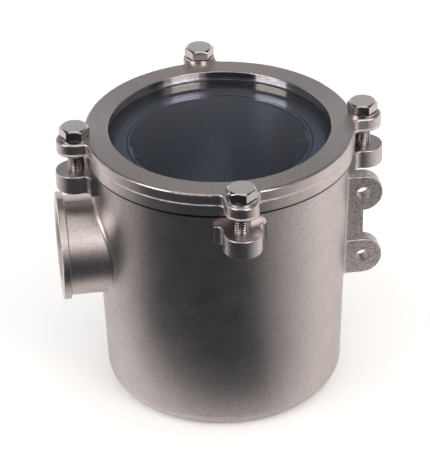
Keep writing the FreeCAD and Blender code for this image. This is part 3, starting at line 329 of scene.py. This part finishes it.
def turned_nickel():
    # Nickel over turned bronze: fine concentric tool marks on the satin top, a polished bore, a rim with a
    # faint casting grain, a painted highlight as a light line along its step, and painted shade as a dark
    # line in the seam under the ring. Tool marks of 0.15 mm are drawn 0.6 mm apart and the grain 0.9 mm and
    # 1.6 mm across, so that they show.
    material, tree = new_material("turned_nickel")
    where = add(tree, "ShaderNodeTexCoord", out="Object")
    x, y, z = add(tree, "ShaderNodeSeparateXYZ", {0: where}).node.outputs
    radius = plan_radius(tree, x, y)
    top = band(tree, z, (RING_TOP - 0.4) * MM, 1.0, 0.1 * MM)
    bore = band(tree, radius, 0.0, 69.0 * MM, 0.3 * MM)
    # Painted highlight: a light line along the step in the rim.
    step = band(tree, z, 165.2 * MM, 166.3 * MM, 0.25 * MM)
    # Painted shade: a dark line at the foot of the rim, where the joint under the ring lies in shadow.
    seam_shade = band(tree, z, (RING_UNDER - 0.1) * MM, (RING_UNDER + 1.1) * MM, 0.4 * MM)
    rings = add(tree, "ShaderNodeCombineXYZ", {0: radius, 2: z})
    marks = add(tree, "ShaderNodeTexNoise", {"Vector": rings, "Scale": 1 / (0.6 * MM), "Detail": 3.0,
                                             "Roughness": 0.7})
    pebble = add(tree, "ShaderNodeTexNoise", {"Vector": where, "Scale": 1 / (1.6 * MM)})
    sand = add(tree, "ShaderNodeTexNoise", {"Vector": where, "Scale": 1 / (0.9 * MM)})
    patches = add(tree, "ShaderNodeTexNoise", {"Vector": where, "Scale": 1 / (10.0 * MM), "Detail": 3.0})
    specks = add(tree, "ShaderNodeMapRange", {0: sand, 1: 0.36, 2: 0.56})
    colour = add(tree, "ShaderNodeMix", {0: patches, 6: hexcol("#CFC7C5"), 7: hexcol("#C3BAB8")},
                 **COLOUR_MIX)
    colour = add(tree, "ShaderNodeMix", {0: specks, 6: hexcol("#BAB2B1"), 7: colour}, **COLOUR_MIX)
    for share, code in ((seam_shade, "#2B2A2D"), (step, "#F2EEED")):
        colour = add(tree, "ShaderNodeMix", {0: share, 6: colour, 7: hexcol(code)}, **COLOUR_MIX)
    rough = add(tree, "ShaderNodeMapRange", {0: patches, 1: 0.3, 2: 0.7, 3: 0.29, 4: 0.35})
    for share, value in ((step, 1.0), (bore, 0.10), (top, 0.40)):
        rough = add(tree, "ShaderNodeMix", {0: share, 2: rough, 3: value})
    height = add(tree, "ShaderNodeMix", {0: top, 2: pebble, 3: marks})
    depth = add(tree, "ShaderNodeMix", {0: bore, 2: 0.30, 3: 0.05})
    bump = add(tree, "ShaderNodeBump", {"Strength": depth, "Distance": 0.10 * MM, "Height": height})
    along = add(tree, "ShaderNodeTangent", direction_type="RADIAL", axis="Z")
    shade = add(tree, "ShaderNodeBsdfPrincipled", {"Base Color": colour, "Metallic": 1.0, "Roughness": rough,
                                                   "Normal": bump, "Tangent": along, "Anisotropic": 0.6,
                                                   "Anisotropic Rotation": 0.25})
    add(tree, "ShaderNodeOutputMaterial", {0: shade})
    return material


def bright_steel():
    # Stainless bolt steel: cold-formed bright flats with faint handling marks, and a satin face on the head.
    material, tree = new_material("bright_bolt_steel")
    where = add(tree, "ShaderNodeTexCoord", out="Object")
    z = add(tree, "ShaderNodeSeparateXYZ", {0: where}, out="Z")
    face = band(tree, z, (HEAD_TOP - 0.2) * MM, 1.0, 0.1 * MM)
    marks = add(tree, "ShaderNodeTexNoise", {"Vector": where, "Scale": 1 / (3.0 * MM), "Detail": 4.0,
                                             "Roughness": 0.6})
    colour = add(tree, "ShaderNodeMix", {0: marks, 6: hexcol("#C9C4C4"), 7: hexcol("#B6B0AF")}, **COLOUR_MIX)
    colour = add(tree, "ShaderNodeMix", {0: face, 6: colour, 7: hexcol("#EBE6E6")}, **COLOUR_MIX)
    rough = add(tree, "ShaderNodeMapRange", {0: marks, 1: 0.3, 2: 0.7, 3: 0.12, 4: 0.22})
    rough = add(tree, "ShaderNodeMix", {0: face, 2: rough, 3: 0.50})
    bump = add(tree, "ShaderNodeBump", {"Strength": 0.15, "Distance": 0.06 * MM, "Height": marks})
    shade = add(tree, "ShaderNodeBsdfPrincipled", {"Base Color": colour, "Metallic": 1.0, "Roughness": rough,
                                                   "Normal": bump})
    add(tree, "ShaderNodeOutputMaterial", {0: shade})
    return material


def basket_steel():
    # Stainless sheet, punched and rolled: the eye gets a pale satin mill finish with faint cloudy marks.
    material, tree = new_material("satin_basket_steel")
    where = add(tree, "ShaderNodeTexCoord", out="Object")
    marks = add(tree, "ShaderNodeTexNoise", {"Vector": where, "Scale": 1 / (1.6 * MM), "Detail": 3.0,
                                             "Roughness": 0.6})
    colour = add(tree, "ShaderNodeMix", {0: marks, 6: hexcol("#D6D8DE"), 7: hexcol("#C8CAD0")}, **COLOUR_MIX)
    rough = add(tree, "ShaderNodeMapRange", {0: marks, 1: 0.3, 2: 0.7, 3: 0.30, 4: 0.42})
    bump = add(tree, "ShaderNodeBump", {"Strength": 0.15, "Distance": 0.05 * MM, "Height": marks})
    shade = add(tree, "ShaderNodeBsdfPrincipled", {"Base Color": colour, "Metallic": 1.0, "Roughness": rough,
                                                   "Normal": bump})
    add(tree, "ShaderNodeOutputMaterial", {0: shade})
    return material


def spun_rim():
    # Stainless ring spot-welded to the shell: satin, with painted shade as a dark ring where the shell meets
    # it.
    material, tree = new_material("welded_rim_steel")
    where = add(tree, "ShaderNodeTexCoord", out="Object")
    x, y, z = add(tree, "ShaderNodeSeparateXYZ", {0: where}).node.outputs
    # Painted shade: a dark ring where the shell meets the rim, in place of the shadow at the rim's inner
    # edge.
    rim_joint_shade = band(tree, plan_radius(tree, x, y), 55.9 * MM, 56.9 * MM, 0.35 * MM)
    marks = add(tree, "ShaderNodeTexNoise", {"Vector": where, "Scale": 1 / (2.0 * MM), "Detail": 3.0,
                                             "Roughness": 0.6})
    colour = add(tree, "ShaderNodeMix", {0: marks, 6: hexcol("#B8BAC4"), 7: hexcol("#A9ABB5")}, **COLOUR_MIX)
    colour = add(tree, "ShaderNodeMix", {0: rim_joint_shade, 6: colour, 7: hexcol("#141519")}, **COLOUR_MIX)
    rough = add(tree, "ShaderNodeMapRange", {0: marks, 1: 0.3, 2: 0.7, 3: 0.36, 4: 0.46})
    bump = add(tree, "ShaderNodeBump", {"Strength": 0.1, "Distance": 0.05 * MM, "Height": marks})
    shade = add(tree, "ShaderNodeBsdfPrincipled", {"Base Color": colour, "Metallic": 1.0, "Roughness": rough,
                                                   "Normal": bump})
    add(tree, "ShaderNodeOutputMaterial", {0: shade})
    return material


def drawn_wire():
    # Stainless wire, cold-drawn and left dull grey by the die, with a fine uneven grain.
    material, tree = new_material("drawn_wire")
    where = add(tree, "ShaderNodeTexCoord", out="Object")
    marks = add(tree, "ShaderNodeTexNoise", {"Vector": where, "Scale": 1 / (0.9 * MM), "Detail": 3.0,
                                             "Roughness": 0.6})
    colour = add(tree, "ShaderNodeMix", {0: marks, 6: hexcol("#666A72"), 7: hexcol("#565A61")}, **COLOUR_MIX)
    rough = add(tree, "ShaderNodeMapRange", {0: marks, 1: 0.3, 2: 0.7, 3: 0.42, 4: 0.55})
    bump = add(tree, "ShaderNodeBump", {"Strength": 0.15, "Distance": 0.04 * MM, "Height": marks})
    shade = add(tree, "ShaderNodeBsdfPrincipled", {"Base Color": colour, "Metallic": 1.0, "Roughness": rough,
                                                   "Normal": bump})
    add(tree, "ShaderNodeOutputMaterial", {0: shade})
    return material


def smoked_window():
    # Cast acrylic sheet, faintly blue and polished, with the light haze that fine scratches and dust give it.
    material, tree = new_material("smoked_acrylic")
    where = add(tree, "ShaderNodeTexCoord", out="Object")
    haze = add(tree, "ShaderNodeTexNoise", {"Vector": where, "Scale": 1 / (22.0 * MM), "Detail": 3.0})
    colour = add(tree, "ShaderNodeMix", {0: haze, 6: hexcol("#DCE2EF"), 7: hexcol("#CFD7E8")}, **COLOUR_MIX)
    rough = add(tree, "ShaderNodeMapRange", {0: haze, 1: 0.45, 2: 0.75, 3: 0.012, 4: 0.035})
    shade = add(tree, "ShaderNodeBsdfPrincipled", {"Base Color": colour, "Metallic": 0.0, "Roughness": rough,
                                                   "IOR": 1.49, "Transmission Weight": 0.978})
    add(tree, "ShaderNodeOutputMaterial", {0: shade})
    return material


def rubber(name, code):
    # Moulded rubber, matt, with a faint bloom: black nitrile for the seal, grey silicone for the gasket.
    material, tree = new_material(name)
    where = add(tree, "ShaderNodeTexCoord", out="Object")
    marks = add(tree, "ShaderNodeTexNoise", {"Vector": where, "Scale": 1 / (0.8 * MM), "Detail": 3.0})
    darker = tuple(0.8 * c for c in hexcol(code)[:3]) + (1.0,)
    colour = add(tree, "ShaderNodeMix", {0: marks, 6: hexcol(code), 7: darker}, **COLOUR_MIX)
    rough = add(tree, "ShaderNodeMapRange", {0: marks, 1: 0.3, 2: 0.7, 3: 0.5, 4: 0.7})
    bump = add(tree, "ShaderNodeBump", {"Strength": 0.2, "Distance": 0.05 * MM, "Height": marks})
    shade = add(tree, "ShaderNodeBsdfPrincipled", {"Base Color": colour, "Roughness": rough, "Normal": bump})
    add(tree, "ShaderNodeOutputMaterial", {0: shade})
    return material


def dress(names, material):
    # A finish for nodes that keep their own mesh.
    for name in names:
        mesh = frame["nodes"][name].data
        mesh.materials.clear()
        mesh.materials.append(material)


# ---------------------------------------------------------------- pieces
def finish_piece(name, mesh, body, material):
    mesh.shade_smooth()
    mesh.set_sharp_from_angle(angle=math.radians(SHARP_ANGLE))
    made = bpy.data.objects.new(name, mesh)
    scene.collection.objects.link(made)
    mesh.materials.clear()
    mesh.materials.append(material)
    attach(made, body)
    return made


def skin(name, rows, body, material, caps=True):
    # A closed surface through rows of points, each row a loop. With caps, a fan closes each end. Without,
    # the last row runs on into the first.
    count = len(rows[0])
    points = [tuple(c * MM for c in p) for row in rows for p in row]
    faces = []
    for i in range(len(rows) - 1):
        for j in range(count):
            k = (j + 1) % count
            faces.append((i * count + j, i * count + k, (i + 1) * count + k, (i + 1) * count + j))
    if caps:
        for i, flip in ((0, True), (len(rows) - 1, False)):
            points.append(tuple(sum(p[c] for p in rows[i]) / count * MM for c in range(3)))
            hub = len(points) - 1
            for j in range(count):
                face = (hub, i * count + j, i * count + (j + 1) % count)
                faces.append(face[::-1] if flip else face)
    else:
        last = (len(rows) - 1) * count
        for j in range(count):
            k = (j + 1) % count
            faces.append((last + j, last + k, k, j))
    mesh = bpy.data.meshes.new(name)
    mesh.from_pydata(points, [], faces)
    mesh.update()
    return finish_piece(name, mesh, body, material)


def tooth(turns):
    # Thread profile from 0 at the root to 1 at the crest, for a number of turns.
    part = turns % 1.0
    return min(1.0, max(0.0, 1.25 - abs(part - 0.5) * 3.4)) if part else 0.0


def make_bolt(side, material):
    # M10 hex bolt, 16 mm across the flats, 1.5 mm pitch: rolled thread, plain shank and a head chamfered at
    # 30 degrees.
    at_x, at_y, turn = SIDES[side]
    turn = math.radians(turn)
    pitch, shank, half_flats = 1.5, 5.0, 8.0
    depth = 0.92
    thread_start, thread_end = BOLT_TIP + 1.0, 162.5
    rise = pitch / 8
    count = 60
    angles = [2 * math.pi * j / count for j in range(count)]

    def loop(radii, heights):
        return [(at_x + r * math.cos(a + turn), at_y + r * math.sin(a + turn), h)
                for a, r, h in zip(angles, radii, heights)]

    def ring(radius, z):
        return loop([radius] * count, [z] * count)

    rows = [ring(3.9, BOLT_TIP), ring(4.25, BOLT_TIP + 0.35)]
    steps = int((thread_end - thread_start) / rise)
    for i in range(steps + 1):
        z = thread_start + i * rise
        fade = min(1.0, (steps - i) / 10)
        cuts = [depth * (1 - tooth(z / pitch - a / (2 * math.pi))) * fade for a in angles]
        rows.append(loop([min(shank - cut, 4.35 + i * 0.12) for cut in cuts], [z] * count))
    rows += [ring(shank, 163.4), ring(shank, HEAD_UNDER - 0.25), ring(5.25, HEAD_UNDER),
             ring(7.5, HEAD_UNDER), ring(7.6, HEAD_UNDER + 0.3)]
    outer = [half_flats / math.cos((a + math.pi / 6) % (math.pi / 3) - math.pi / 6) for a in angles]
    slope = math.tan(math.radians(30))
    bevel = [HEAD_TOP - 0.05 - (r - 7.3) * slope for r in outer]
    rows.append(loop([r - 0.25 for r in outer], [HEAD_UNDER + 0.32] * count))
    rows.append(loop(outer, [HEAD_UNDER + 0.6] * count))
    rows.append(loop(outer, [b - 0.22 for b in bevel]))
    rows.append(loop([r - 0.2 for r in outer], [b + 0.06 for b in bevel]))
    rows += [ring(7.45, HEAD_TOP - 0.14), ring(7.2, HEAD_TOP - 0.01), ring(7.0, HEAD_TOP),
             ring(3.5, HEAD_TOP)]
    made = skin("bolt_dressed_" + side, rows, "bolt_" + side, material)
    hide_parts("bolt_" + side)


def make_port_thread(name, axis, material):
    # 1 1/2 inch parallel pipe thread, 11 turns per inch, as a lining in the mouth of a port.
    pitch, crest_to_root, root, lining = 2.309, 0.85, 22.5, 23.0
    start, end = 79.5, 99.7
    steps = int((end - start) / pitch * 8)
    count = 96
    angles = [2 * math.pi * j / count for j in range(count)]
    profile = []
    for i in range(steps + 1):
        reach = start + (end - start) * i / steps
        fade = min(1.0, i / 6, (steps - i) / 8)
        profile.append([(root - crest_to_root * tooth(reach / pitch + a / (2 * math.pi)) * fade, a, reach)
                        for a in angles])
    profile += [[(lining, a, end) for a in angles], [(lining, a, start) for a in angles]]
    rows = []
    for row in profile:
        points = []
        for radius, a, reach in row:
            across, upward = radius * math.cos(a), PORT_HEIGHT + radius * math.sin(a)
            points.append((-reach, -across, upward) if axis == "x" else (-across, reach, upward))
        rows.append(points[::-1])
    skin(name, rows, "housing", material, caps=False)


def perforated_sheet():
    # Node tree for a sheet punched with a staggered field of six-sided holes, small enough to look round: a
    # lattice of six-sided tiles, each with its hole, cut to a disc if it has a disc radius and else bent to
    # a cylinder.
    tree = bpy.data.node_groups.new("perforated_sheet", "GeometryNodeTree")
    for name, kind, start in (
            ("Pitch", "NodeSocketFloat", 0.0024),
            ("Hole Radius", "NodeSocketFloat", 0.0007),
            ("Thickness", "NodeSocketFloat", 0.0012),
            ("Columns", "NodeSocketInt", 64),
            ("Rows", "NodeSocketInt", 54),
            ("Bend Radius", "NodeSocketFloat", 0.0563),
            ("Disc Radius", "NodeSocketFloat", 0.0),
            ("Start Angle", "NodeSocketFloat", 0.0),
            ("Foot Height", "NodeSocketFloat", 0.0),
            ("Material", "NodeSocketMaterial", None)):
        socket = tree.interface.new_socket(name=name, in_out="INPUT", socket_type=kind)
        if start is not None:
            socket.default_value = start
    tree.interface.new_socket(name="Geometry", in_out="OUTPUT", socket_type="NodeSocketGeometry")
    value = {socket.name: socket for socket in add(tree, "NodeGroupInput").node.outputs}

    # The lattice: odd columns are half a pitch higher. Each row is a new value and the sum that gives it.
    value["index"] = add(tree, "GeometryNodeInputIndex")
    for name, one, kind, two in (
            ("corner", "Pitch", "MULTIPLY", CORNER_SHARE),
            ("tiles", "Columns", "MULTIPLY", "Rows"),
            ("past start", "index", "ADD", 0.5),
            ("columns past", "past start", "DIVIDE", "Rows"),
            ("column", "columns past", "FLOOR", 0.0),
            ("tiles before", "column", "MULTIPLY", "Rows"),
            ("row", "index", "SUBTRACT", "tiles before"),
            ("odd", "column", "MODULO", 2.0),
            ("column step", "Pitch", "MULTIPLY", COLUMN_SHARE),
            ("across", "column", "MULTIPLY", "column step"),
            ("lift", "odd", "MULTIPLY", 0.5),
            ("lifted row", "row", "ADD", "lift"),
            ("upward", "lifted row", "MULTIPLY", "Pitch"),
            ("column gaps", "Columns", "SUBTRACT", 1.0),
            ("half column", "Pitch", "MULTIPLY", HALF_COLUMN_SHARE),
            ("half width", "column gaps", "MULTIPLY", "half column"),
            ("row gaps", "Rows", "SUBTRACT", 0.5),
            ("half row", "Pitch", "MULTIPLY", 0.5),
            ("half height", "row gaps", "MULTIPLY", "half row"),
            ("centred x", "across", "SUBTRACT", "half width"),
            ("centred y", "upward", "SUBTRACT", "half height"),
            ("is disc", "Disc Radius", "GREATER_THAN", 0.0)):
        numbers = {0: value.get(one, one), 1: value.get(two, two)}
        value[name] = add(tree, "ShaderNodeMath", numbers, operation=kind)
    is_disc = value["is disc"]
    place_x = add(tree, "ShaderNodeMix", {0: is_disc, 2: value["across"], 3: value["centred x"]})
    place_y = add(tree, "ShaderNodeMix", {0: is_disc, 2: value["upward"], 3: value["centred y"]})
    place = add(tree, "ShaderNodeCombineXYZ", {0: place_x, 1: place_y})
    points = add(tree, "GeometryNodeMeshLine", {"Count": value["tiles"]}, mode="OFFSET")
    points = add(tree, "GeometryNodeSetPosition", {"Geometry": points, "Position": place})

    # The tiles: a six-sided ring round one hole, whose corners reach the corners of the next tiles.
    tile = add(tree, "GeometryNodeMeshCone", {"Vertices": 6, "Side Segments": 1, "Depth": 0.0,
                                              "Radius Top": value["Hole Radius"],
                                              "Radius Bottom": value["corner"]}, fill_type="NONE")
    reach = plan_radius(tree, value["centred x"], value["centred y"])
    outside = add(tree, "ShaderNodeMath", {0: reach, 1: value["Disc Radius"]}, operation="GREATER_THAN")
    left_out = add(tree, "ShaderNodeMath", {0: outside, 1: is_disc}, operation="MULTIPLY")
    kept = add(tree, "ShaderNodeMath", {0: 1.0, 1: left_out}, operation="SUBTRACT")
    tiles = add(tree, "GeometryNodeInstanceOnPoints", {"Points": points, "Selection": kept, "Instance": tile})
    tiles = add(tree, "GeometryNodeRealizeInstances", {"Geometry": tiles})
    face = add(tree, "GeometryNodeMergeByDistance", {"Geometry": tiles, "Distance": 0.02 * MM})

    # The thickness: the face raised with walls at every edge, and the same face turned over as the back.
    lift = add(tree, "ShaderNodeCombineXYZ", {2: value["Thickness"]})
    raised = add(tree, "GeometryNodeExtrudeMesh", {"Mesh": face, "Offset": lift, "Offset Scale": 1.0,
                                                   "Individual": False})
    back = add(tree, "GeometryNodeFlipFaces", {"Mesh": face})
    both = add(tree, "GeometryNodeJoinGeometry", {0: raised})
    tree.links.new(back, both.node.inputs[0])
    sheet = add(tree, "GeometryNodeMergeByDistance", {"Geometry": both, "Distance": 0.02 * MM})

    # The bend: across becomes an angle, upward becomes the height, and the thickness runs outwards.
    spot = add(tree, "GeometryNodeInputPosition")
    value["x"], value["y"], value["z"] = add(tree, "ShaderNodeSeparateXYZ", {0: spot}).node.outputs
    for name, one, kind, two in (
            ("arc", "x", "DIVIDE", "Bend Radius"),
            ("angle", "arc", "ADD", "Start Angle"),
            ("out", "z", "ADD", "Bend Radius"),
            ("cosine", "angle", "COSINE", 0.0),
            ("sine", "angle", "SINE", 0.0),
            ("round x", "out", "MULTIPLY", "cosine"),
            ("round y", "out", "MULTIPLY", "sine"),
            ("round z", "y", "ADD", "Foot Height"),
            ("disc z", "z", "ADD", "Foot Height")):
        numbers = {0: value.get(one, one), 1: value.get(two, two)}
        value[name] = add(tree, "ShaderNodeMath", numbers, operation=kind)
    ends = [add(tree, "ShaderNodeMix", {0: is_disc, 2: value[rolled], 3: value[flat]})
            for rolled, flat in (("round x", "x"), ("round y", "y"), ("round z", "disc z"))]
    bent = add(tree, "ShaderNodeCombineXYZ", dict(enumerate(ends)))
    shaped = add(tree, "GeometryNodeSetPosition", {"Geometry": sheet, "Position": bent})
    finished = add(tree, "GeometryNodeSetMaterial", {"Geometry": shaped, "Material": value["Material"]})
    add(tree, "NodeGroupOutput", {0: finished})
    return tree


def grown(name, tree, sizes):
    # The plain mesh that a node tree makes with these sizes.
    seed = bpy.data.objects.new(name + "_seed", bpy.data.meshes.new(name + "_seed"))
    scene.collection.objects.link(seed)
    step = seed.modifiers.new("tree", "NODES")
    step.node_group = tree
    for item in tree.interface.items_tree:
        if item.in_out == "INPUT" and item.name in sizes:
            step[item.identifier] = sizes[item.name]
    ready = seed.evaluated_get(bpy.context.evaluated_depsgraph_get())
    mesh = bpy.data.meshes.new_from_object(ready)
    mesh.name = name
    bpy.data.objects.remove(seed)
    return mesh


def round_row(radius, z, count=240):
    return [(radius * math.cos(2 * math.pi * j / count), radius * math.sin(2 * math.pi * j / count), z)
            for j in range(count)]


def plain_panel_rows():
    # Rows for the plain panel round the feed opening: from the opening out to the panel's edge on the
    # outside, and back on the inside.
    half, low, high = math.radians(45.6), 19.0, 148.0
    middle = (BASKET_OUT + BASKET_IN) / 2
    corners = [(-half, low), (half, low), (half, high), (-half, high)]
    edge = []
    for i, steps in enumerate((24, 36, 24, 36)):
        (turn, z), (next_turn, next_z) = corners[i], corners[(i + 1) % 4]
        edge += [(turn + (next_turn - turn) * k / steps, z + (next_z - z) * k / steps) for k in range(steps)]
    opening = []
    for turn, z in edge:
        lean = math.atan2(z - PORT_HEIGHT, turn * middle)
        opening.append((math.asin(FEED_RADIUS * math.cos(lean) / middle),
                        PORT_HEIGHT + FEED_RADIUS * math.sin(lean)))
    shares = (0.0, 0.1, 0.3, 0.6, 1.0)
    rows = []
    for radius, share in [(BASKET_OUT, s) for s in shares] + [(BASKET_IN, s) for s in shares[::-1]]:
        row = []
        for (turn, z), (edge_turn, edge_z) in zip(opening, edge):
            turn, z = turn + (edge_turn - turn) * share, z + (edge_z - z) * share
            row.append((-radius * math.cos(turn), -radius * math.sin(turn), z))
        rows.append(row)
    return rows[::-1]


def make_basket(material):
    # The rolled shell: two perforated halves, plain margins above and below, and a plain panel round the feed
    # opening. Holes are 0.92 mm across the corners, on a 2.1 mm pitch.
    tree = perforated_sheet()
    punched = {"Pitch": HOLE_PITCH * MM, "Hole Radius": HOLE_RADIUS * MM, "Thickness": SHEET_THICK * MM,
               "Material": material}
    column_angle = COLUMN_SHARE * HOLE_PITCH / BEND_RADIUS
    shell = []
    for side, start in (("right", -MESH_COLUMNS * column_angle), ("left", 0.0)):
        name = "basket_mesh_" + side
        mesh = grown(name, tree, {**punched, "Columns": MESH_COLUMNS, "Rows": MESH_ROWS, "Start Angle": start,
                                  "Bend Radius": BEND_RADIUS * MM, "Foot Height": 18.6 * MM})
        shell.append(finish_piece(name, mesh, "housing", material))
    for name, low, high in (("basket_top_margin", 147.2, BASKET_TOP),
                            ("basket_foot_margin", BASKET_FOOT, 19.6)):
        rows = [round_row(BASKET_OUT, low), round_row(BASKET_OUT, high), round_row(BASKET_IN, high),
                round_row(BASKET_IN, low)]
        shell.append(skin(name, rows, "housing", material, caps=False))
    rows = plain_panel_rows()
    shell.append(skin("basket_plain_panel", rows, "housing", material, caps=False))
    for made in shell:
        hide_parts("basket_shell")

    # The pan: a perforated disc with a plain turned-up edge.
    mesh = grown("basket_pan_mesh", tree, {**punched, "Columns": 57, "Rows": 50, "Disc Radius": 50.5 * MM,
                                           "Foot Height": 9.6 * MM})
    disc = finish_piece("basket_pan_mesh", mesh, "housing", material)
    rows = [round_row(radius, z) for radius, z in ((49.0, 9.5), (55.0, 9.5), (55.5, 10.0), (55.5, 17.5),
                                                   (54.1, 17.5), (54.1, 10.9), (49.0, 10.9))]
    edge = skin("basket_pan_edge", rows, "housing", material, caps=False)
    for made in (disc, edge):
        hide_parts("basket_base")


make_camera()
make_world()
make_floor()
make_dark_front()
make_lamps()
cast = cast_nickel()
turned = turned_nickel()
bolt_metal = bright_steel()
sheet_metal = basket_steel()
dress(["body_casting"], cast)
dress(["cover_ring"], turned)
dress(["window"], smoked_window())
dress(["body_seal"], rubber("black_nitrile", "#1B1B1C"))
dress(["window_gasket"], rubber("grey_silicone", "#5E5C5E"))
dress(["washer_" + side for side in SIDES], bolt_metal)
dress(["basket_rim"], spun_rim())
dress(["basket_hoop", "bail_ear_right", "bail_ear_left"], sheet_metal)
dress(["basket_bail"], drawn_wire())
for side in SIDES:
    make_bolt(side, bolt_metal)
make_basket(sheet_metal)
make_port_thread("inlet_thread", "x", cast)
make_port_thread("outlet_thread", "y", cast)
